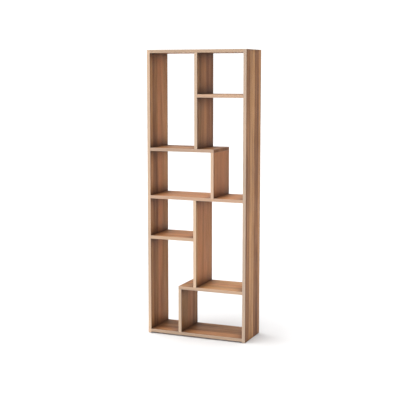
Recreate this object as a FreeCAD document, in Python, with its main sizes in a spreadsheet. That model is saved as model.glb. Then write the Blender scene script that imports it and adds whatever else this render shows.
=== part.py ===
import FreeCAD, Part
import Sketcher

import os

# Tall open bookcase of solid boards, 2 m high, with staggered compartments and no back.
#
# Frame: +Z up, the front faces -Y, +X is to the right of someone who stands in front of it.
# The origin is on the floor, under the middle of the case.
#
# Thirteen boards of one thickness make it. The two sides run the full height and the other boards
# meet each other in butt joints, with loose wooden dowels in every joint. The end of each shelf or
# panel that meets the face of an upright is also pulled tight by two cam locks, whose bolts are
# screwed into the upright. The sides stand on small nail-in glides.

SIZES = {
    # case
    "case_width": 732,
    "case_depth": 295,
    "board_thickness": 22,
    "edge_radius": 1.2,
    # clear heights of the compartments, from the floor up
    "glide_height": 2.5,
    "bottom_panel_lift": 6.5,
    "bottom_bay_height": 306,
    "lower_bay_height": 610,
    "small_left_bay_height": 264,
    "middle_bay_height": 312,
    "upper_step_height": 351,
    "top_right_bay_height": 280,
    # clear widths from the left side to each divider
    "bottom_left_bay_width": 212,
    "lower_left_bay_width": 325,
    "middle_left_bay_width": 454,
    "top_left_bay_width": 333,
    # rows of holes, from the front and back edges of the boards
    "first_hole_inset": 37,
    "hole_pitch": 32,
    # dowels
    "dowel_diameter": 8,
    "dowel_length": 35,
    "dowel_chamfer": 0.8,
    "dowel_face_depth": 13,
    "dowel_end_gap": 1,
    "fit_clearance": 0.05,
    # cam locks and their bolts
    "cam_diameter": 15,
    "cam_setback": 34,
    "cam_below_axis": 4.5,
    "cam_recess": 0.3,
    "cam_slot_height": 7.6,
    "cam_slot_past_centre": 3.6,
    "cam_cross_length": 6.4,
    "cam_cross_width": 1.4,
    "cam_cross_depth": 2.4,
    "bolt_thread_diameter": 5,
    "bolt_thread_length": 11,
    "bolt_tip_gap": 0.5,
    "bolt_shank_diameter": 7,
    "bolt_neck_diameter": 4,
    "bolt_neck_length": 8,
    "bolt_head_diameter": 6.6,
    "bolt_head_length": 4,
    "bolt_hole_clearance": 0.5,
    # glides
    "glide_diameter": 17,
    "glide_edge_chamfer": 0.8,
    "nail_diameter": 2.4,
    "nail_length": 16,
}


class Size:
    """A length with its present value and the sheet expression that drives it."""

    def __init__(self, value, text):
        self.value = value
        self.text = text

    @staticmethod
    def of(other):
        return other if isinstance(other, Size) else Size(other, repr(other))

    def __add__(self, other):
        other = Size.of(other)
        return Size(self.value + other.value, f"({self.text} + {other.text})")

    def __sub__(self, other):
        other = Size.of(other)
        return Size(self.value - other.value, f"({self.text} - {other.text})")

    def __mul__(self, factor):
        return Size(self.value * factor, f"({self.text} * {factor!r})")

    def __truediv__(self, divisor):
        return Size(self.value / divisor, f"({self.text} / {divisor!r})")

    def __neg__(self):
        return self * -1


doc = FreeCAD.newDocument("open_bookcase")
sheet = doc.addObject("Spreadsheet::Sheet", "Sizes")
for row, (alias, number) in enumerate(SIZES.items(), start=1):
    sheet.set(f"A{row}", alias)
    sheet.set(f"B{row}", str(number))
    sheet.setAlias(f"B{row}", alias)
doc.recompute()


def size(alias):
    return Size(float(sheet.get(alias)), f"Sizes.{alias}")


ZERO = Size(0.0, "0")
width = size("case_width")
depth = size("case_depth")
board = size("board_thickness")
clearance = size("fit_clearance")

# Levels above the floor, each the underside of its board
side_foot = size("glide_height")
bottom_level = side_foot + size("bottom_panel_lift")
lower_right_level = bottom_level + board + size("bottom_bay_height")
middle_level = lower_right_level + board + size("lower_bay_height")
lower_left_level = middle_level - size("small_left_bay_height") - board
upper_left_level = middle_level + board + size("middle_bay_height")
upper_right_level = upper_left_level + board + size("upper_step_height")
top_level = upper_right_level + board + size("top_right_bay_height")
case_top = top_level + board

# Places across the case, each the left face of its upright
left_outer = -(width / 2)
left_inner = left_outer + board
right_inner = width / 2 - board
top_divider_left = left_inner + size("top_left_bay_width")
middle_divider_left = left_inner + size("middle_left_bay_width")
lower_divider_left = left_inner + size("lower_left_bay_width")
bottom_divider_left = left_inner + size("bottom_left_bay_width")

# Rows of holes from front to back
outer_row = depth / 2 - size("first_hole_inset")
inner_row = outer_row - size("hole_pitch")

objects = {}
solids_wanted = {}


def bind(thing, prop, length):
    thing.setExpression(prop, length.text)


def origin_plane(body, role):
    return next(item for item in body.Origin.OriginFeatures if item.Role == role)


def new_body(label, x_place, z_place):
    """A body whose local origin stands at (x_place, 0, z_place) of the case."""
    body = doc.addObject("PartDesign::Body", label)
    body.Label = label
    body.AllowCompound = True
    body.Placement = FreeCAD.Placement(
        FreeCAD.Vector(x_place.value, 0, z_place.value), FreeCAD.Rotation())
    bind(body, "Placement.Base.x", x_place)
    bind(body, "Placement.Base.z", z_place)
    objects[label] = body
    return body


def new_sketch(body, name, role, offset):
    """A sketch on one of the body's own origin planes, moved along the plane's normal."""
    sketch = body.newObject("Sketcher::SketchObject", name)
    sketch.AttachmentSupport = (origin_plane(body, role), [""])
    sketch.MapMode = "FlatFace"
    sketch.AttachmentOffset = FreeCAD.Placement(
        FreeCAD.Vector(0, 0, offset.value), FreeCAD.Rotation())
    bind(sketch, "AttachmentOffset.Base.z", offset)
    return sketch


def place_point(sketch, geometry, point, axis, place):
    """Ties a point's distance from the sketch origin to a size, on the side where it lies."""
    origin = (-1, 1)
    target = (geometry, point)
    if place.value < 0:
        first, second, distance = target, origin, -place
    else:
        first, second, distance = origin, target, place
    number = sketch.addConstraint(
        Sketcher.Constraint("Distance" + axis, *first, *second, distance.value))
    bind(sketch, f"Constraints[{number}]", distance)


def add_circle(sketch, across, up, diameter):
    centre = FreeCAD.Vector(across.value, up.value, 0)
    circle = sketch.addGeometry(
        Part.Circle(centre, FreeCAD.Vector(0, 0, 1), diameter.value / 2))
    place_point(sketch, circle, 3, "X", across)
    place_point(sketch, circle, 3, "Y", up)
    number = sketch.addConstraint(Sketcher.Constraint("Diameter", circle, diameter.value))
    bind(sketch, f"Constraints[{number}]", diameter)


def add_rectangle(sketch, low_x, low_y, high_x, high_y):
    corners = [
        FreeCAD.Vector(low_x.value, low_y.value, 0),
        FreeCAD.Vector(high_x.value, low_y.value, 0),
        FreeCAD.Vector(high_x.value, high_y.value, 0),
        FreeCAD.Vector(low_x.value, high_y.value, 0),
    ]
    first = sketch.GeometryCount
    for index in range(4):
        sketch.addGeometry(Part.LineSegment(corners[index], corners[(index + 1) % 4]))
    for index in range(4):
        after = (index + 1) % 4
        sketch.addConstraint(
            Sketcher.Constraint("Coincident", first + index, 2, first + after, 1))
        kind = "Horizontal" if index % 2 == 0 else "Vertical"
        sketch.addConstraint(Sketcher.Constraint(kind, first + index))
    place_point(sketch, first, 1, "X", low_x)
    place_point(sketch, first, 1, "Y", low_y)
    place_point(sketch, first + 2, 1, "X", high_x)
    place_point(sketch, first + 2, 1, "Y", high_y)


def new_pad(body, name, sketch, length, reverse=False, symmetric=False):
    pad = body.newObject("PartDesign::Pad", name)
    pad.Profile = sketch
    pad.Reversed = reverse
    pad.SideType = "Symmetric" if symmetric else "One side"
    bind(pad, "Length", length)
    doc.recompute()
    return pad


def new_pocket(body, name, sketch, length, reverse=False, symmetric=False):
    pocket = body.newObject("PartDesign::Pocket", name)
    pocket.Profile = sketch
    pocket.Reversed = reverse
    pocket.SideType = "Symmetric" if symmetric else "One side"
    bind(pocket, "Length", length)
    doc.recompute()
    before = pocket.BaseFeature.Shape.Volume
    if not pocket.Shape.Volume < before:
        raise RuntimeError(f"{body.Label}: {name} cuts nothing")
    return pocket


def circles(body, name, role, offset, centres, diameter):
    sketch = new_sketch(body, name, role, offset)
    for across, up in centres:
        add_circle(sketch, across, up, diameter)
    return sketch


def drill(body, name, role, offset, centres, diameter, hole_depth, forwards):
    """Blind holes from a face, along the plane's normal if forwards, else against it."""
    sketch = circles(body, name + "_centres", role, offset, centres, diameter)
    return new_pocket(body, name, sketch, hole_depth, reverse=forwards)


def straight_edges(shape, wanted):
    """Names of the shape's straight edges whose two ends satisfy wanted(start, end)."""
    names = []
    for number, edge in enumerate(shape.Edges, start=1):
        start = edge.Vertexes[0].Point
        end = edge.Vertexes[-1].Point
        if wanted(start, end):
            names.append(f"Edge{number}")
    return names


def round_edges(body, feature, wanted):
    fillet = body.newObject("PartDesign::Fillet", body.Label + "_easing")
    fillet.Base = (feature, straight_edges(feature.Shape, wanted))
    bind(fillet, "Radius", size("edge_radius"))
    doc.recompute()
    return fillet


def chamfer_rims(body, feature, length, wanted=lambda centre: True):
    """Chamfers the feature's circular edges whose centres satisfy wanted(centre)."""
    names = []
    for number, edge in enumerate(feature.Shape.Edges, start=1):
        is_rim = isinstance(edge.Curve, Part.Circle)
        if is_rim and wanted(edge.Curve.Center):
            names.append(f"Edge{number}")
    chamfer = body.newObject("PartDesign::Chamfer", body.Label + "_rims")
    chamfer.Base = (feature, names)
    bind(chamfer, "Size", length)
    doc.recompute()
    return chamfer


# Boards. Every board is full depth. An upright is given by its left face and its two ends, a level
# board by its underside and its two ends.

UPRIGHTS = {
    "left_side": (left_outer, side_foot, case_top),
    "right_side": (right_inner, side_foot, case_top),
    "divider_top": (top_divider_left, upper_left_level + board, top_level),
    "divider_upper": (middle_divider_left, middle_level + board, upper_left_level),
    "divider_lower": (lower_divider_left, lower_right_level + board, middle_level),
    "divider_bottom": (bottom_divider_left, bottom_level + board, lower_right_level),
}

LEVELS = {
    "top_panel": (top_level, left_inner, right_inner),
    "shelf_upper_right": (upper_right_level, top_divider_left + board, right_inner),
    "shelf_upper_left": (upper_left_level, left_inner, middle_divider_left + board),
    "shelf_middle": (middle_level, left_inner, right_inner),
    "shelf_lower_left": (lower_left_level, left_inner, lower_divider_left),
    "shelf_lower_right": (lower_right_level, bottom_divider_left, right_inner),
    "bottom_panel": (bottom_level, left_inner, right_inner),
}

# Joints where the end of a level board meets the face of an upright
END_JOINTS = [
    ("top_panel", "left", "left_side"),
    ("top_panel", "right", "right_side"),
    ("shelf_upper_right", "left", "divider_top"),
    ("shelf_upper_right", "right", "right_side"),
    ("shelf_upper_left", "left", "left_side"),
    ("shelf_middle", "left", "left_side"),
    ("shelf_middle", "right", "right_side"),
    ("shelf_lower_left", "left", "left_side"),
    ("shelf_lower_left", "right", "divider_lower"),
    ("shelf_lower_right", "right", "right_side"),
    ("bottom_panel", "left", "left_side"),
    ("bottom_panel", "right", "right_side"),
]

# Joints where the end of a divider meets the face of a level board
STANDING_JOINTS = [
    ("divider_top", "head", "top_panel"),
    ("divider_top", "foot", "shelf_upper_left"),
    ("divider_upper", "head", "shelf_upper_left"),
    ("divider_upper", "foot", "shelf_middle"),
    ("divider_lower", "head", "shelf_middle"),
    ("divider_lower", "foot", "shelf_lower_right"),
    ("divider_bottom", "head", "shelf_lower_right"),
    ("divider_bottom", "foot", "bottom_panel"),
]

# Ends of level boards that lie open over a divider instead of butting against an upright
OPEN_ENDS = {
    "shelf_upper_left": "right",
    "shelf_lower_right": "left",
}

middle_of_board = board / 2
dowel_in_face = size("dowel_face_depth") - size("dowel_end_gap")
dowel_hole = size("dowel_diameter") + clearance * 2
dowel_end_depth = size("dowel_length") - dowel_in_face + size("dowel_end_gap")
cam_hole = size("cam_diameter")
cam_body = cam_hole - clearance * 2
cam_bore_depth = middle_of_board + size("cam_below_axis")
thread_hole = size("bolt_thread_diameter") + clearance * 2
thread_hole_depth = size("bolt_thread_length") + size("bolt_tip_gap")
bolt_hole = size("bolt_shank_diameter") + size("bolt_hole_clearance") * 2
shank_length = size("cam_setback") - size("bolt_neck_length") - size("bolt_head_length") / 2
# each glide's nail goes up the side half way between a bolt and a dowel
glide_row = (outer_row + inner_row) / 2
nail_hole = size("nail_diameter") + clearance * 2
nail_hole_depth = size("nail_length") + clearance

# Each joint has three dowels, and each cammed joint two cams, seen from front to back
END_JOINT_DOWELS = [-inner_row, ZERO, inner_row]
STANDING_JOINT_DOWELS = [-outer_row, ZERO, outer_row]
CAM_ROWS = [-outer_row, outer_row]
GLIDE_ROWS = [-glide_row, glide_row]
SAME_PLACE = 1e-3


def same(first, second):
    return abs(first - second) < SAME_PLACE


def build_upright(label, left_face, foot, head):
    body = new_body(label, left_face, foot)
    outline = new_sketch(body, label + "_outline", "XZ_Plane", ZERO)
    length = head - foot
    add_rectangle(outline, ZERO, ZERO, board, length)
    slab = new_pad(body, label + "_slab", outline, depth, symmetric=True)
    is_side = label.endswith("_side")

    def eased(start, end):
        """All edges of a side, and the upright edges of a divider."""
        return is_side or not same(start.z, end.z)

    round_edges(body, slab, eased)
    for level_name, end, upright in END_JOINTS:
        if upright != label:
            continue
        # a shelf's left end is on the right of its upright
        faces_right = end == "left"
        face = board if faces_right else ZERO
        axis_height = LEVELS[level_name][0] + middle_of_board - foot
        drill(body, f"{label}_dowels_{level_name}", "YZ_Plane", face,
              [(row, axis_height) for row in END_JOINT_DOWELS],
              dowel_hole, size("dowel_face_depth"), forwards=not faces_right)
        drill(body, f"{label}_bolts_{level_name}", "YZ_Plane", face,
              [(row, axis_height) for row in CAM_ROWS],
              thread_hole, thread_hole_depth, forwards=not faces_right)
    for divider, end, level_name in STANDING_JOINTS:
        if divider != label:
            continue
        is_foot = end == "foot"
        drill(body, f"{label}_dowels_{end}", "XY_Plane", ZERO if is_foot else length,
              [(middle_of_board, row) for row in STANDING_JOINT_DOWELS],
              dowel_hole, dowel_end_depth, forwards=is_foot)
    if is_side:
        drill(body, label + "_glide_nails", "XY_Plane", ZERO,
              [(middle_of_board, row) for row in GLIDE_ROWS],
              nail_hole, nail_hole_depth, forwards=True)
    solids_wanted[label] = 1


def build_level(label, underside, left_end, right_end):
    body = new_body(label, left_end, underside)
    outline = new_sketch(body, label + "_outline", "XZ_Plane", ZERO)
    length = right_end - left_end
    add_rectangle(outline, ZERO, ZERO, length, board)
    slab = new_pad(body, label + "_slab", outline, depth, symmetric=True)
    open_end = OPEN_ENDS.get(label)
    open_x = {"left": 0.0, "right": length.value}.get(open_end)

    def eased(start, end):
        """The long edges, and every edge of an open end."""
        is_long = not same(start.x, end.x)
        return is_long or (open_x is not None and same(start.x, open_x))

    round_edges(body, slab, eased)
    for level_name, end, upright in END_JOINTS:
        if level_name != label:
            continue
        is_left = end == "left"
        face = ZERO if is_left else length
        cam_axis = size("cam_setback") if is_left else length - size("cam_setback")
        drill(body, f"{label}_dowels_{end}", "YZ_Plane", face,
              [(row, middle_of_board) for row in END_JOINT_DOWELS],
              dowel_hole, dowel_end_depth, forwards=is_left)
        drill(body, f"{label}_cam_bores_{end}", "XY_Plane", ZERO,
              [(cam_axis, row) for row in CAM_ROWS],
              cam_hole, cam_bore_depth, forwards=True)
        drill(body, f"{label}_bolt_ways_{end}", "YZ_Plane", face,
              [(row, middle_of_board) for row in CAM_ROWS],
              bolt_hole, size("cam_setback"), forwards=is_left)
    for divider, end, level_name in STANDING_JOINTS:
        if level_name != label:
            continue
        # a divider's head is under the board, and its foot is on top of it
        is_head = end == "head"
        centre = UPRIGHTS[divider][0] + middle_of_board - left_end
        drill(body, f"{label}_dowels_{divider}", "XY_Plane", ZERO if is_head else board,
              [(centre, row) for row in STANDING_JOINT_DOWELS],
              dowel_hole, size("dowel_face_depth"), forwards=is_head)
    solids_wanted[label] = 1


def build_dowels(label, x_place, z_place, role, centres, forwards):
    """Three dowels across one joint. Their axis runs from the drilled face into the drilled end."""
    body = new_body(label, x_place, z_place)
    start = -dowel_in_face if forwards else dowel_in_face
    ends = circles(body, label + "_ends", role, start, centres, size("dowel_diameter"))
    pins = new_pad(body, label + "_pins", ends, size("dowel_length"), reverse=not forwards)
    chamfer_rims(body, pins, size("dowel_chamfer"))
    solids_wanted[label] = len(centres)


def build_joint_dowels():
    for level_name, end, upright in END_JOINTS:
        underside, left_end, right_end = LEVELS[level_name]
        is_left = end == "left"
        build_dowels(f"dowels_{level_name}_{end}", left_end if is_left else right_end, underside,
                     "YZ_Plane", [(row, middle_of_board) for row in END_JOINT_DOWELS], is_left)
    for divider, end, level_name in STANDING_JOINTS:
        left_face, foot, head = UPRIGHTS[divider]
        is_foot = end == "foot"
        build_dowels(f"dowels_{divider}_{end}", left_face, foot if is_foot else head,
                     "XY_Plane", [(middle_of_board, row) for row in STANDING_JOINT_DOWELS], is_foot)


def build_cam_locks(level_name):
    """The cams of one board, in bores from its underside, each slotted for the head of its bolt."""
    underside, left_end, right_end = LEVELS[level_name]
    label = "cam_locks_" + level_name
    length = right_end - left_end
    body = new_body(label, left_end, underside)
    ends = [end for name, end, upright in END_JOINTS if name == level_name]
    recess = size("cam_recess")
    half_slot = size("cam_slot_height") / 2
    reach = cam_hole / 2 + recess
    axes = {"left": size("cam_setback"), "right": length - size("cam_setback")}
    centres = [(axes[end], row) for end in ends for row in CAM_ROWS]

    discs = circles(body, label + "_discs", "XY_Plane", recess, centres, cam_body)
    new_pad(body, label + "_bodies", discs, cam_bore_depth - recess)

    slots = new_sketch(body, label + "_slots", "XZ_Plane", ZERO)
    for end in ends:
        towards_joint = axes[end] - reach if end == "left" else axes[end] + reach
        past = size("cam_slot_past_centre")
        past_centre = axes[end] + past if end == "left" else axes[end] - past
        low, high = sorted([towards_joint, past_centre], key=lambda place: place.value)
        add_rectangle(slots, low, middle_of_board - half_slot, high, middle_of_board + half_slot)
    new_pocket(body, label + "_head_slots", slots, depth, symmetric=True)

    half_length = size("cam_cross_length") / 2
    half_width = size("cam_cross_width") / 2
    for name, half_x, half_y in (("along", half_length, half_width),
                                 ("across", half_width, half_length)):
        cross = new_sketch(body, f"{label}_cross_{name}", "XY_Plane", recess)
        for across, row in centres:
            add_rectangle(cross, across - half_x, row - half_y, across + half_x, row + half_y)
        new_pocket(body, f"{label}_recess_{name}", cross, size("cam_cross_depth"), reverse=True)
    solids_wanted[label] = len(centres)


def build_cam_bolts(upright):
    """The bolts screwed into one upright, each with its head at the centre of its cam."""
    left_face, foot, head = UPRIGHTS[upright]
    label = "cam_bolts_" + upright
    body = new_body(label, left_face, foot)
    joints = [(name, end) for name, end, owner in END_JOINTS if owner == upright]
    faces_right = joints[0][1] == "left"
    face = board if faces_right else ZERO
    heights = [LEVELS[name][0] + middle_of_board - foot for name, end in joints]
    centres = [(row, height) for height in heights for row in CAM_ROWS]
    distance = -size("bolt_thread_length")
    for name, diameter, length in (
            ("thread", size("bolt_thread_diameter"), size("bolt_thread_length")),
            ("shank", size("bolt_shank_diameter"), shank_length),
            ("neck", size("bolt_neck_diameter"), size("bolt_neck_length")),
            ("head", size("bolt_head_diameter"), size("bolt_head_length"))):
        start = face + distance if faces_right else face - distance
        section = circles(body, f"{label}_{name}_section", "YZ_Plane", start, centres, diameter)
        new_pad(body, f"{label}_{name}", section, length, reverse=not faces_right)
        distance = distance + length
    solids_wanted[label] = len(centres)


def build_glides(side):
    """Two nail-in glides under one side: a plastic disc on the floor with its nail up the board."""
    left_face, foot, head = UPRIGHTS[side]
    label = "glides_" + side
    body = new_body(label, left_face, ZERO)
    centres = [(middle_of_board, row) for row in GLIDE_ROWS]
    soles = circles(body, label + "_soles", "XY_Plane", ZERO, centres, size("glide_diameter"))
    discs = new_pad(body, label + "_discs", soles, foot)
    chamfer_rims(body, discs, size("glide_edge_chamfer"), lambda centre: same(centre.z, 0))
    points = circles(body, label + "_nail_section", "XY_Plane", foot / 2, centres,
                     size("nail_diameter"))
    new_pad(body, label + "_nails", points, foot / 2 + size("nail_length"))
    solids_wanted[label] = len(centres)


for label, (left_face, foot, head) in UPRIGHTS.items():
    build_upright(label, left_face, foot, head)
for label, (underside, left_end, right_end) in LEVELS.items():
    build_level(label, underside, left_end, right_end)
build_joint_dowels()
for level_name in LEVELS:
    build_cam_locks(level_name)
for upright in dict.fromkeys(owner for name, end, owner in END_JOINTS):
    build_cam_bolts(upright)
for side in ("left_side", "right_side"):
    build_glides(side)

doc.recompute()
for item in doc.Objects:
    if "Invalid" in item.State or "Error" in item.State:
        raise RuntimeError(f"{item.Label} failed: {item.State}")
for label, body in objects.items():
    wanted = solids_wanted[label]
    if body.Shape.isNull() or not body.Shape.isValid():
        raise RuntimeError(f"{label} has no valid shape")
    if len(body.Shape.Solids) != wanted:
        raise RuntimeError(f"{label} has {len(body.Shape.Solids)} solids, not {wanted}")

os.makedirs("parts", exist_ok=True)
for label, body in objects.items():
    body.Shape.exportStep(f"parts/{label}.step")
print(f"{len(objects)} sub-parts, overall "
      f"{width.value:g} x {depth.value:g} x {case_top.value:g} mm")
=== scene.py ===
import math

import bmesh
import bpy
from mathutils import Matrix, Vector


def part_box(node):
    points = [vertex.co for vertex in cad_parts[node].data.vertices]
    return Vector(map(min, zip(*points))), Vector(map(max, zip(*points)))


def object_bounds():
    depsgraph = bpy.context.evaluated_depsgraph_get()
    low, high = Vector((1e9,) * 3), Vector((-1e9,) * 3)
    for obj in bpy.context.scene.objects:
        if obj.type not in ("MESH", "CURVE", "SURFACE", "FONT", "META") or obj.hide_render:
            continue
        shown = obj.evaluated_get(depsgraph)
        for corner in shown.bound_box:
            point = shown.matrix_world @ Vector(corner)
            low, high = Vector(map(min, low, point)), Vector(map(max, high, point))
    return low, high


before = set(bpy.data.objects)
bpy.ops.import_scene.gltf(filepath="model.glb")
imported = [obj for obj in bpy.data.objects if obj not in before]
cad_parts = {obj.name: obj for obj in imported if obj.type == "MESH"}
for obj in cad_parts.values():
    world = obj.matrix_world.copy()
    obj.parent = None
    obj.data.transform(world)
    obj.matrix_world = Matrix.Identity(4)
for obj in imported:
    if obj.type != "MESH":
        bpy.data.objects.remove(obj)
cad_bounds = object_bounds()

MM = 0.001
FLOOR_LEVEL = cad_bounds[0].z
FLOOR_SIZE = 30

# Camera
CAMERA_PLACE = Vector((2.551, -6.145, 1.833))
CAMERA_YAW = math.radians(22.78)
CAMERA_TILT = math.radians(6.965)
CAMERA_LENS = 86.0
CAMERA_SENSOR = 36.0
CAMERA_SHIFT = -0.0225

# Light: a wide key, a white surround that glows most along BRIGHT_WAY, and a weak softbox
KEY_AZIMUTH = math.radians(43)
KEY_HEIGHT = math.radians(46)
KEY_SPREAD = math.radians(110)
KEY_STRENGTH = 5.1
SURROUND_SEEN = 1.15
BRIGHT_WAY = Vector((-0.35, 0.65, 0.67))
BRIGHT_GLOW = 0.95
DIM_GLOW = 0.15
DIM_UP_TO = -0.7
SIDE_LIGHT_PLACE = Vector((1.75, 0.25, 1.0))
SIDE_LIGHT_WIDTH = 1.4
SIDE_LIGHT_HEIGHT = 0.8
SIDE_LIGHT_POWER = 6

# Colours of the oiled timber, of the wear and painted highlight on its edges, and of the painted
# shade laid on it, then tints that multiply it
LIGHT_TIMBER = (0.545, 0.275, 0.127)
DARK_TIMBER = (0.130, 0.050, 0.019)
# colour of the painted highlight on upright front and back edges, and of the wear with painted
# highlight along all edges
EDGE_WEAR_AND_HIGHLIGHT = (0.470, 0.388, 0.312)
# colour of the painted highlight on the front and back edges of level boards
LEVEL_EDGE_HIGHLIGHT = (0.345, 0.282, 0.228)
# colour of the painted shade along the borders of each board and in the corners where boards meet
PAINTED_SHADE = (0.075, 0.030, 0.013)
OPEN_PORE = (0.060, 0.028, 0.014)
GLUE = (0.070, 0.030, 0.015)
WARM_STAVE = (1.06, 0.965, 0.90)
COOL_STAVE = (0.95, 1.03, 0.96)
END_GRAIN = (0.84, 0.80, 0.76)
# how much lighter and darker the painted edge highlight runs with the grain
EDGE_LIGHTEST = 1.14
EDGE_DARKEST = 0.74

# Staves, and the pith outside the board that their rings run round
STAVE_WIDTH = 86 * MM
STAVE_UNEVENNESS = 0.45
RING_SPACING = 3.4 * MM
RING_SHARPNESS = 2.4
RING_END = 0.12
PITH_DRIFT = 34 * MM
PITH_SPREAD = 90 * MM
PITH_DEPTH_LEAST = 26 * MM
PITH_DEPTH_RANGE = 110 * MM
GLUE_LINE = 0.45 * MM

# How fine each pattern is per metre, along the grain, across it and through the board
RING_WANDER = (1.1, 7.0, 7.0)
RING_WAVER = (4.0, 160.0, 160.0)
FIBRES = (11.0, 620.0, 620.0)
STREAKS = (1.6, 60.0, 60.0)
FIGURE = (1.5, 17.0, 17.0)
PORES = (95.0, 2300.0, 2300.0)
RAGGED_EDGE = (60.0, 60.0, 60.0)

# Where the noise of a pattern starts to show, and where it shows in full
STREAK_RANGE = (0.54, 0.72)
PORE_RANGE = (0.62, 0.70)
HANDLED_RANGE = (0.35, 0.68)

# How far each pattern takes the timber from light to dark
STAVE_CONTRAST = 0.60
FIGURE_CONTRAST = 1.10
RING_CONTRAST = 0.34
FIBRE_CONTRAST = 0.80
STREAK_CONTRAST = 0.34

# How thickly each colour is laid over the timber
PORE_SHARE = 0.42
GLUE_SHARE = 0.45
# shares of the painted shade, of the painted highlight on front and back edges, and of the wear
# with painted highlight
BORDER_SHADE_SHARE = 0.22
CORNER_SHADE_SHARE = 0.84
FRONT_BACK_HIGHLIGHT_SHARE = 0.60
WEAR_AND_HIGHLIGHT_SHARE = 0.40

# Roughness, and what the patterns, hands and wear add to it
TIMBER_ROUGHNESS = 0.44
FIBRE_ROUGHNESS = 0.16
RING_ROUGHNESS = -0.06
HANDLED_ROUGHNESS = 0.07
WORN_ROUGHNESS = -0.08
OIL_IOR = 1.46
OIL_SPECULAR = 0.15

# Relief of the timber, as shares of its depth
RELIEF_DEPTH = 0.12 * MM
RING_RELIEF = 0.25
FIBRE_RELIEF = 0.6
PORE_RELIEF = -0.7
GLUE_RELIEF = -0.5

# Wear and painted highlight along edges, painted shade along the borders of each board and in the
# corners where boards meet, and patches that hands have left
WEAR_AND_HIGHLIGHT_REACH = 3 * MM
EDGE_REACH_LEAST = 0.4
EDGE_MASK_FULL = 0.25
BORDER_SHADE_REACH = 30 * MM
CORNER_SHADE_REACH = 110 * MM
CORNER_FALL = 2.2
OFF_FACE = 12 * MM
BEHIND_FACE = (-9 * MM, -3 * MM)
HANDLED_SIZE = 120 * MM
TOUCHING = 0.5 * MM
PAST_JOINT = 200 * MM

# How squarely a face looks along the grain, or to the front or back, to count as an end, or as a
# front or back edge that gets painted highlight
END_RANGE = (0.6, 0.9)
FRONT_BACK_RANGE = (0.5, 0.9)

# The place in the timber that each board is cut from, and how much darker it is than the rest
CUT_STEP_ALONG = 3.7
CUT_STEP_ACROSS = 0.731
BOARDS = {
    "left_side": (14, -0.05),
    "right_side": (119, 0.21),
    "divider_top": (133, 0.05),
    "divider_upper": (69, -0.13),
    "divider_lower": (96, -0.16),
    "divider_bottom": (58, 0.00),
    "top_panel": (7, 0.00),
    "shelf_upper_right": (8, -0.06),
    "shelf_upper_left": (9, -0.16),
    "shelf_middle": (49, -0.28),
    "shelf_lower_left": (63, -0.26),
    "shelf_lower_right": (38, -0.10),
    "bottom_panel": (65, 0.04),
}
BOXES = {board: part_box(board) for board in BOARDS}

# Colours of the hardware and the floor
BEECH_PALE = (0.62, 0.43, 0.26)
BEECH_DARK = (0.48, 0.30, 0.17)
ZINC_DULL = (0.56, 0.56, 0.55)
ZINC_RUBBED = (0.40, 0.40, 0.41)
PLATING_LIGHT = (0.66, 0.66, 0.63)
PLATING_DARK = (0.50, 0.50, 0.49)
PLASTIC_CLEAN = (0.035, 0.026, 0.020)
PLASTIC_SCUFFED = (0.075, 0.060, 0.050)
FLOOR_COOL = (0.62, 0.62, 0.625)
FLOOR_PLAIN = (0.65, 0.65, 0.65)


class Graph:
    """Short ways to add and link nodes in one tree."""

    def __init__(self, tree):
        self.tree = tree

    def node(self, kind, settings=None, **inputs):
        made = self.tree.nodes.new(kind)
        for name, value in (settings or {}).items():
            setattr(made, name, value)
        for name, value in inputs.items():
            self.feed(made.inputs[name.replace("_", " ")], value)
        return made

    def feed(self, socket, value):
        if isinstance(value, bpy.types.NodeSocket):
            self.tree.links.new(value, socket)
        else:
            socket.default_value = value

    def number(self, operation, *values, clamp=False):
        made = self.node("ShaderNodeMath", {"operation": operation, "use_clamp": clamp})
        for socket, value in zip(made.inputs, values):
            self.feed(socket, value)
        return made.outputs[0]

    def vector(self, operation, *values):
        made = self.node("ShaderNodeVectorMath", {"operation": operation})
        for socket, value in zip(made.inputs, values):
            self.feed(socket, value)
        return made.outputs["Value" if operation in ("LENGTH", "DOT_PRODUCT") else "Vector"]

    def ramp(self, value, low, high):
        """0 at low, 1 at high, eased between."""
        made = self.node("ShaderNodeMapRange", {"interpolation_type": "SMOOTHSTEP"},
                         Value=value, From_Min=low, From_Max=high)
        return made.outputs["Result"]

    def centred(self, value):
        """A value between 0 and 1, moved so that its middle is 0."""
        return self.number("SUBTRACT", value, 0.5)

    def left_over(self, mask):
        return self.number("SUBTRACT", 1.0, mask)

    def squareness(self, normal, way):
        """1 where a face looks along the way or straight against it, 0 where it lies along it."""
        return self.number("ABSOLUTE", self.vector("DOT_PRODUCT", normal, way))

    def blend(self, share, first, second, how="MIX"):
        made = self.node("ShaderNodeMix", {"data_type": "RGBA", "blend_type": how})
        self.feed(made.inputs[0], share)
        self.feed(made.inputs[6], first)
        self.feed(made.inputs[7], second)
        return made.outputs[2]

    def coat(self, under, mask, share, colour):
        """A colour laid over another, as thickly as the share says where the mask is 1."""
        return self.blend(self.number("MULTIPLY", mask, share), under, colour)

    def noise(self, place, stretch, detail=2.0, roughness=0.5):
        """Noise with its own scale per metre along each axis."""
        scaled = self.vector("MULTIPLY", place, stretch)
        made = self.node("ShaderNodeTexNoise", None, Vector=scaled, Scale=1.0, Detail=detail,
                         Roughness=roughness)
        return made.outputs[0]


def opaque(colour):
    return (*colour, 1)


def new_group(name, inputs, outputs):
    tree = bpy.data.node_groups.new(name, "ShaderNodeTree")
    for socket_name, kind, value in inputs:
        socket = tree.interface.new_socket(socket_name, in_out="INPUT", socket_type=kind)
        if value is not None:
            socket.default_value = value
    for socket_name, kind in outputs:
        tree.interface.new_socket(socket_name, in_out="OUTPUT", socket_type=kind)
    graph = Graph(tree)
    return graph, graph.node("NodeGroupInput").outputs, graph.node("NodeGroupOutput").inputs


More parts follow.
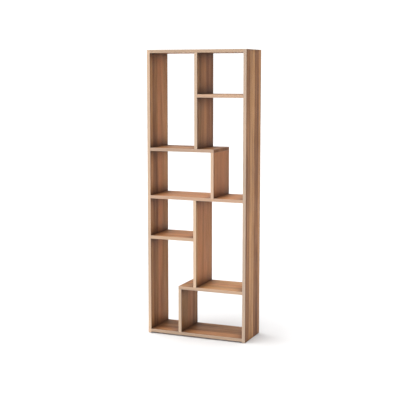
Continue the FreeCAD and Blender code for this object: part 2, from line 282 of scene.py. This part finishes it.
def lay_staves(graph, across, width):
    """Three chances drawn for each stave, then how far its middle and its glue joint are."""
    step = graph.number("DIVIDE", across, width)
    stave = graph.node("ShaderNodeTexVoronoi", {"voronoi_dimensions": "1D"}, W=step,
                       Scale=1.0, Randomness=STAVE_UNEVENNESS).outputs
    joint = graph.node("ShaderNodeTexVoronoi",
                       {"voronoi_dimensions": "1D", "feature": "DISTANCE_TO_EDGE"}, W=step,
                       Scale=1.0, Randomness=STAVE_UNEVENNESS).outputs["Distance"]
    chances = graph.node("ShaderNodeSeparateColor", None, Color=stave["Color"]).outputs
    from_middle = graph.number("MULTIPLY", graph.number("SUBTRACT", step, stave["W"]), width)
    return chances, from_middle, graph.number("MULTIPLY", joint, width)


def growth_rings(graph, place, through, from_middle, chances, spacing):
    """Late wood, in rings round a pith outside the board that wanders along the stave."""
    drift = graph.centred(graph.noise(place, RING_WANDER))
    drift = graph.number("MULTIPLY", drift, PITH_DRIFT)
    pith_across = graph.number("MULTIPLY", graph.centred(chances[1]), PITH_SPREAD)
    pith_below = graph.number("MULTIPLY_ADD", chances[2], PITH_DEPTH_RANGE, PITH_DEPTH_LEAST)
    sideways = graph.number("ADD", graph.number("SUBTRACT", from_middle, pith_across), drift)
    to_pith = graph.node("ShaderNodeCombineXYZ", None, X=sideways,
                         Y=graph.number("ADD", through, pith_below)).outputs[0]
    ring_count = graph.number("DIVIDE", graph.vector("LENGTH", to_pith), spacing)
    waver = graph.noise(place, RING_WAVER, 1.0)
    ring_place = graph.number("FRACT", graph.number("ADD", ring_count, waver))
    return graph.number("MULTIPLY", graph.number("POWER", ring_place, RING_SHARPNESS),
                        graph.ramp(graph.left_over(ring_place), 0.0, RING_END))


def glued_staves_group():
    """Solid timber glued up from staves: grain runs along X, staves lie side by side along Y."""
    graph, given, put = new_group(
        "glued_staves",
        [("Place", "NodeSocketVector", None),
         ("Stave Width", "NodeSocketFloat", STAVE_WIDTH),
         ("Ring Spacing", "NodeSocketFloat", RING_SPACING),
         ("Shade", "NodeSocketFloat", 0.0),
         ("Light", "NodeSocketColor", opaque(LIGHT_TIMBER)),
         ("Dark", "NodeSocketColor", opaque(DARK_TIMBER))],
        [("Color", "NodeSocketColor"), ("Roughness", "NodeSocketFloat"),
         ("Height", "NodeSocketFloat")])
    place = given["Place"]
    axes = graph.node("ShaderNodeSeparateXYZ", None, Vector=place).outputs
    chances, from_middle, to_joint = lay_staves(graph, axes["Y"], given["Stave Width"])
    late_wood = growth_rings(graph, place, axes["Z"], from_middle, chances,
                             given["Ring Spacing"])
    fibre = graph.noise(place, FIBRES, 3.0, 0.6)
    streak = graph.ramp(graph.noise(place, STREAKS, 3.0, 0.6), *STREAK_RANGE)
    figure = graph.noise(place, FIGURE)
    pores = graph.ramp(graph.noise(place, PORES, 1.0), *PORE_RANGE)
    glue = graph.ramp(to_joint, GLUE_LINE, 0.0)

    tone = graph.number("MULTIPLY_ADD", chances[0], STAVE_CONTRAST, given["Shade"])
    tone = graph.number("MULTIPLY_ADD", graph.centred(figure), FIGURE_CONTRAST, tone)
    tone = graph.number("MULTIPLY_ADD", late_wood, RING_CONTRAST, tone)
    tone = graph.number("MULTIPLY_ADD", graph.centred(fibre), FIBRE_CONTRAST, tone)
    tone = graph.number("MULTIPLY_ADD", streak, STREAK_CONTRAST, tone, clamp=True)
    timber = graph.blend(tone, given["Light"], given["Dark"])
    warmth = graph.blend(chances[1], opaque(WARM_STAVE), opaque(COOL_STAVE))
    timber = graph.blend(1.0, timber, warmth, "MULTIPLY")
    timber = graph.coat(timber, pores, PORE_SHARE, opaque(OPEN_PORE))
    timber = graph.coat(timber, glue, GLUE_SHARE, opaque(GLUE))
    graph.feed(put["Color"], timber)

    rough = graph.number("MULTIPLY_ADD", fibre, FIBRE_ROUGHNESS, TIMBER_ROUGHNESS)
    rough = graph.number("MULTIPLY_ADD", late_wood, RING_ROUGHNESS, rough)
    graph.feed(put["Roughness"], rough)
    relief = graph.number("MULTIPLY", fibre, FIBRE_RELIEF)
    relief = graph.number("MULTIPLY_ADD", late_wood, RING_RELIEF, relief)
    relief = graph.number("MULTIPLY_ADD", pores, PORE_RELIEF, relief)
    relief = graph.number("MULTIPLY_ADD", glue, GLUE_RELIEF, relief)
    graph.feed(put["Height"], relief)
    return graph.tree


def eased_edges_group():
    """How close a point is to an edge of the box between two corners: 1 on the edge."""
    graph, given, put = new_group(
        "eased_edges",
        [("Place", "NodeSocketVector", None), ("Low", "NodeSocketVector", None),
         ("High", "NodeSocketVector", None), ("Reach", "NodeSocketFloat", WEAR_AND_HIGHLIGHT_REACH)],
        [("Mask", "NodeSocketFloat")])
    inside = graph.vector("MINIMUM", graph.vector("SUBTRACT", given["Place"], given["Low"]),
                          graph.vector("SUBTRACT", given["High"], given["Place"]))
    x, y, z = graph.node("ShaderNodeSeparateXYZ", None, Vector=inside).outputs
    # the second smallest distance to a face is the distance to the nearest edge
    nearest = graph.number("MINIMUM", graph.number("MAXIMUM", x, y), graph.number("MAXIMUM", x, z))
    nearest = graph.number("MINIMUM", nearest, graph.number("MAXIMUM", y, z))
    ragged = graph.noise(given["Place"], RAGGED_EDGE, 3.0)
    reach = graph.number("MULTIPLY", given["Reach"], graph.number("ADD", ragged, EDGE_REACH_LEAST))
    nearness = graph.ramp(graph.number("DIVIDE", nearest, reach), 1.0, EDGE_MASK_FULL)
    graph.feed(put["Mask"], nearness)
    return graph.tree


def meeting_corner_group():
    """How close a point is to the corner that its face makes with a board that meets it there."""
    graph, given, put = new_group(
        "meeting_corner",
        [("Place", "NodeSocketVector", None), ("Normal", "NodeSocketVector", None),
         ("Low", "NodeSocketVector", None), ("High", "NodeSocketVector", None),
         ("Reach", "NodeSocketFloat", CORNER_SHADE_REACH)],
        [("Mask", "NodeSocketFloat")])
    # measured from just off the face, so that a board that is flush with it makes no corner
    lifted = graph.vector("MULTIPLY_ADD", given["Normal"], (OFF_FACE, OFF_FACE, OFF_FACE),
                          given["Place"])
    nearest = graph.vector("MINIMUM", graph.vector("MAXIMUM", lifted, given["Low"]), given["High"])
    toward = graph.vector("SUBTRACT", nearest, lifted)
    closeness = graph.number("DIVIDE", graph.vector("LENGTH", toward), given["Reach"])
    closeness = graph.number("SUBTRACT", 1.0, closeness, clamp=True)
    closeness = graph.number("POWER", closeness, CORNER_FALL)
    # a flush board, or one that meets the other face, is behind the lifted point
    facing = graph.ramp(graph.vector("DOT_PRODUCT", toward, given["Normal"]), *BEHIND_FACE)
    graph.feed(put["Mask"], graph.number("MULTIPLY", closeness, facing))
    return graph.tree


def handled_group():
    """Patches that hands and cloths have left a little smoother or duller."""
    graph, given, put = new_group(
        "handled",
        [("Place", "NodeSocketVector", None), ("Size", "NodeSocketFloat", HANDLED_SIZE)],
        [("Mask", "NodeSocketFloat")])
    step = graph.vector("SCALE", given["Place"])
    graph.feed(step.node.inputs["Scale"], graph.number("DIVIDE", 1.0, given["Size"]))
    patches = graph.node("ShaderNodeTexNoise", None, Vector=step, Scale=1.0, Detail=3.0).outputs[0]
    graph.feed(put["Mask"], graph.ramp(patches, *HANDLED_RANGE))
    return graph.tree


GLUED_STAVES = glued_staves_group()
EASED_EDGES = eased_edges_group()
MEETING_CORNER = meeting_corner_group()
HANDLED = handled_group()


def new_material(name):
    material = bpy.data.materials.new(name)
    material.use_nodes = True
    graph = Graph(material.node_tree)
    shader = material.node_tree.nodes["Principled BSDF"]
    return material, graph, shader


def use_group(graph, tree, **inputs):
    return graph.node("ShaderNodeGroup", {"node_tree": tree}, **inputs).outputs


def add_bump(graph, shader, height, depth):
    bump = graph.node("ShaderNodeBump", None, Height=height, Strength=1.0, Distance=depth)
    graph.feed(shader.inputs["Normal"], bump.outputs["Normal"])


def meet(first, second):
    """Whether a face of one board lies against the other board."""
    first_low, first_high = BOXES[first]
    second_low, second_high = BOXES[second]
    overlaps = [min(first_high[axis], second_high[axis]) - max(first_low[axis], second_low[axis])
                for axis in range(3)]
    return min(overlaps) > -TOUCHING and sorted(overlaps)[1] > TOUCHING


def neighbours(board):
    return [other for other in BOARDS if other != board and meet(board, other)]


def stands_upright(board):
    low, high = BOXES[board]
    return high.z - low.z > high.x - low.x


def open_edge_box(board):
    """The board's box, drawn out past each end that meets another board: no hand wears it there,
    and no painted highlight or painted shade falls along it there.
    """
    low, high = (corner.copy() for corner in BOXES[board])
    grain = 2 if stands_upright(board) else 0
    first, last = low[grain], high[grain]
    for other in neighbours(board):
        other_low, other_high = BOXES[other]
        if other_high[grain] < first + TOUCHING:
            low[grain] = first - PAST_JOINT
        if other_low[grain] > last - TOUCHING:
            high[grain] = last + PAST_JOINT
    return low, high


def corner_shade_mask(graph, board, place, normal):
    """Closeness to the corners that this board makes with every board that meets it, which sets how
    much painted shade each corner gets.
    """
    mask = 0.0
    for other in neighbours(board):
        low, high = BOXES[other]
        corner = use_group(graph, MEETING_CORNER, Place=place, Normal=normal, Low=low, High=high)
        mask = graph.number("ADD", mask, corner["Mask"], clamp=True)
    return mask


def cut_timber(graph, board, cut, shade, place):
    """The board's own cut of the timber, with the grain along its length."""
    low, high = BOXES[board]
    middle = (low + high) / 2
    mapping = graph.node("ShaderNodeMapping", {"vector_type": "POINT"}, Vector=place)
    through = -middle.z
    if stands_upright(board):
        # turned so that X runs up the board and Z through its thickness
        mapping.inputs["Rotation"].default_value = (0, math.pi / 2, 0)
        through = middle.x
    start = (CUT_STEP_ALONG * cut, CUT_STEP_ACROSS * cut, through)
    mapping.inputs["Location"].default_value = start
    return use_group(graph, GLUED_STAVES, Place=mapping.outputs[0], Shade=shade)


def board_timber(board, cut, shade):
    """Oiled timber for one board, with painted shade in its corners and along its borders, a
    painted highlight on its front and back edges, and wear with painted highlight along its edges.
    """
    material, graph, shader = new_material("oiled_timber_" + board)
    where = graph.node("ShaderNodeTexCoord").outputs
    place, normal = where["Object"], where["Normal"]
    upright = stands_upright(board)
    along_grain = (0, 0, 1) if upright else (1, 0, 0)
    edge = EDGE_WEAR_AND_HIGHLIGHT if upright else LEVEL_EDGE_HIGHLIGHT
    edge_light = opaque([channel * EDGE_LIGHTEST for channel in edge])
    edge_dark = opaque([channel * EDGE_DARKEST for channel in edge])
    low, high = open_edge_box(board)
    timber = cut_timber(graph, board, cut, shade, place)
    # wear along the edges, also used for a painted highlight there
    worn_and_highlit = use_group(graph, EASED_EDGES, Place=place, Low=low, High=high)["Mask"]
    hands = use_group(graph, HANDLED, Place=place)["Mask"]
    end_grain = graph.ramp(graph.squareness(normal, along_grain), *END_RANGE)
    # faces that look to the front or back, which get a painted highlight
    front_back_highlight = graph.ramp(graph.squareness(normal, (0, 1, 0)), *FRONT_BACK_RANGE)
    off_front_back = graph.left_over(front_back_highlight)
    # painted shade: a dark band along the borders of each face, standing in for shade
    border_shade = use_group(graph, EASED_EDGES, Place=place, Low=low, High=high,
                       Reach=BORDER_SHADE_REACH)["Mask"]
    border_shade = graph.number("MULTIPLY", border_shade, off_front_back)
    # painted shade: darkening in the corners where boards meet, standing in for the shade that
    # falls there
    corners = corner_shade_mask(graph, board, place, normal)
    corners = graph.number("MULTIPLY", corners, off_front_back)

    colour = graph.blend(end_grain, timber["Color"],
                         graph.blend(1.0, timber["Color"], opaque(END_GRAIN), "MULTIPLY"))
    # painted shade laid along the borders of each face and in the corners where boards meet
    colour = graph.coat(colour, border_shade, BORDER_SHADE_SHARE, opaque(PAINTED_SHADE))
    colour = graph.coat(colour, corners, CORNER_SHADE_SHARE, opaque(PAINTED_SHADE))
    # painted highlight: front and back edge faces made pale, standing in for the key light on them
    highlight_wood = graph.blend(timber["Height"], edge_light, edge_dark)
    colour = graph.coat(colour, front_back_highlight, FRONT_BACK_HIGHLIGHT_SHARE, highlight_wood)
    # wear and painted highlight along the edges
    colour = graph.coat(colour, worn_and_highlit, WEAR_AND_HIGHLIGHT_SHARE, opaque(EDGE_WEAR_AND_HIGHLIGHT))
    graph.feed(shader.inputs["Base Color"], colour)
    rough = graph.number("MULTIPLY_ADD", hands, HANDLED_ROUGHNESS, timber["Roughness"])
    rough = graph.number("MULTIPLY_ADD", worn_and_highlit, WORN_ROUGHNESS, rough)
    graph.feed(shader.inputs["Roughness"], rough)
    shader.inputs["IOR"].default_value = OIL_IOR
    shader.inputs["Specular IOR Level"].default_value = OIL_SPECULAR
    add_bump(graph, shader, timber["Height"], RELIEF_DEPTH)
    return material


def plain_finish(name, fine, detail, roughness, depth):
    """A finish whose roughness and relief follow one fine noise; its colour is added later."""
    material, graph, shader = new_material(name)
    place = graph.node("ShaderNodeTexCoord").outputs["Object"]
    skin = graph.noise(place, fine, detail)
    least, spread = roughness
    graph.feed(shader.inputs["Roughness"], graph.number("MULTIPLY_ADD", skin, spread, least))
    add_bump(graph, shader, skin, depth)
    return material, graph, shader, place, skin


def beech():
    material, graph, shader, _, fleck = plain_finish(
        "plain_beech", (900.0, 900.0, 160.0), 3.0, roughness=(0.5, 0.2), depth=0.08 * MM)
    colour = graph.blend(graph.ramp(fleck, 0.3, 0.7), opaque(BEECH_PALE), opaque(BEECH_DARK))
    graph.feed(shader.inputs["Base Color"], colour)
    return material


def cast_zinc():
    material, graph, shader, place, _ = plain_finish(
        "cast_zinc", (700.0, 700.0, 700.0), 4.0, roughness=(0.28, 0.30), depth=0.06 * MM)
    patches = use_group(graph, HANDLED, Place=place, Size=4 * MM)["Mask"]
    colour = graph.blend(patches, opaque(ZINC_DULL), opaque(ZINC_RUBBED))
    graph.feed(shader.inputs["Base Color"], colour)
    shader.inputs["Metallic"].default_value = 1.0
    return material


def plated_steel():
    material, graph, shader, _, turned = plain_finish(
        "plated_steel", (2600.0, 90.0, 90.0), 2.0, roughness=(0.22, 0.2), depth=0.03 * MM)
    colour = graph.blend(turned, opaque(PLATING_LIGHT), opaque(PLATING_DARK))
    graph.feed(shader.inputs["Base Color"], colour)
    shader.inputs["Metallic"].default_value = 1.0
    return material


def glide_plastic():
    material, graph, shader, place, _ = plain_finish(
        "glide_plastic", (1500.0, 1500.0, 1500.0), 2.0, roughness=(0.42, 0.25), depth=0.05 * MM)
    scuffs = use_group(graph, HANDLED, Place=place, Size=5 * MM)["Mask"]
    colour = graph.blend(scuffs, opaque(PLASTIC_CLEAN), opaque(PLASTIC_SCUFFED))
    graph.feed(shader.inputs["Base Color"], colour)
    return material


def finish_node(node, material):
    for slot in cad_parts[node].material_slots:
        slot.material = material


def finish_boards():
    for board, (cut, shade) in BOARDS.items():
        finish_node(board, board_timber(board, cut, shade))


def finish_hardware():
    finishes = {
        "dowels_": beech(),
        "cam_locks_": cast_zinc(),
        "cam_bolts_": plated_steel(),
        "glides_": glide_plastic(),
    }
    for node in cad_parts:
        for start, material in finishes.items():
            if node.startswith(start):
                finish_node(node, material)


def studio_floor():
    material, graph, shader = new_material("studio_floor")
    where = graph.node("ShaderNodeTexCoord").outputs["Object"]
    mottle = graph.noise(where, (3.0, 3.0, 3.0), 3.0)
    colour = graph.blend(mottle, opaque(FLOOR_COOL), opaque(FLOOR_PLAIN))
    graph.feed(shader.inputs["Base Color"], colour)
    graph.feed(shader.inputs["Roughness"], graph.number("MULTIPLY_ADD", mottle, 0.1, 0.75))
    mesh = bpy.data.meshes.new("studio_floor")
    shape = bmesh.new()
    bmesh.ops.create_grid(shape, x_segments=1, y_segments=1, size=FLOOR_SIZE)
    bmesh.ops.translate(shape, verts=shape.verts, vec=(0, 0, FLOOR_LEVEL))
    shape.to_mesh(mesh)
    shape.free()
    floor = bpy.data.objects.new("studio_floor", mesh)
    floor.data.materials.append(material)
    bpy.context.scene.collection.objects.link(floor)


def white_surround():
    """White all round, lit more strongly above and behind the case than in front of it."""
    world = bpy.data.worlds.new("white_surround")
    world.use_nodes = True
    graph = Graph(world.node_tree)
    background = world.node_tree.nodes["Background"]
    background.inputs["Color"].default_value = (1, 1, 1, 1)
    toward = graph.node("ShaderNodeTexCoord").outputs["Generated"]
    bright = graph.ramp(graph.vector("DOT_PRODUCT", toward, BRIGHT_WAY), DIM_UP_TO, 1.0)
    glow = graph.number("MULTIPLY_ADD", bright, BRIGHT_GLOW - DIM_GLOW, DIM_GLOW)
    seen = graph.node("ShaderNodeLightPath").outputs["Is Camera Ray"]
    seen = graph.number("MULTIPLY", seen, SURROUND_SEEN)
    graph.feed(background.inputs["Strength"], graph.number("MAXIMUM", glow, seen))
    bpy.context.scene.world = world


def key_light():
    """One wide soft light from the front left, above the case."""
    light = bpy.data.lights.new("key_light", "SUN")
    light.energy = KEY_STRENGTH
    light.angle = KEY_SPREAD
    lamp = bpy.data.objects.new("key_light", light)
    lamp.rotation_euler = (math.pi / 2 - KEY_HEIGHT, 0, -KEY_AZIMUTH)
    bpy.context.scene.collection.objects.link(lamp)


def side_light():
    """A softbox to the right of the case, level with its middle."""
    light = bpy.data.lights.new("side_light", "AREA")
    light.shape = "RECTANGLE"
    light.size = SIDE_LIGHT_HEIGHT
    light.size_y = SIDE_LIGHT_WIDTH
    light.energy = SIDE_LIGHT_POWER
    lamp = bpy.data.objects.new("side_light", light)
    lamp.location = SIDE_LIGHT_PLACE
    lamp.rotation_euler = (0, math.pi / 2, 0)
    lamp.visible_camera = False
    bpy.context.scene.collection.objects.link(lamp)


def place_camera():
    camera_data = bpy.data.cameras.new("camera")
    camera_data.lens = CAMERA_LENS
    camera_data.sensor_width = CAMERA_SENSOR
    camera_data.shift_y = CAMERA_SHIFT
    camera = bpy.data.objects.new("camera", camera_data)
    camera.location = CAMERA_PLACE
    camera.rotation_euler = (math.pi / 2 - CAMERA_TILT, 0, CAMERA_YAW)
    bpy.context.scene.collection.objects.link(camera)
    bpy.context.scene.camera = camera


finish_boards()
finish_hardware()
studio_floor()
white_surround()
key_light()
side_light()
place_camera()
bpy.context.scene.view_settings.view_transform = "Standard"
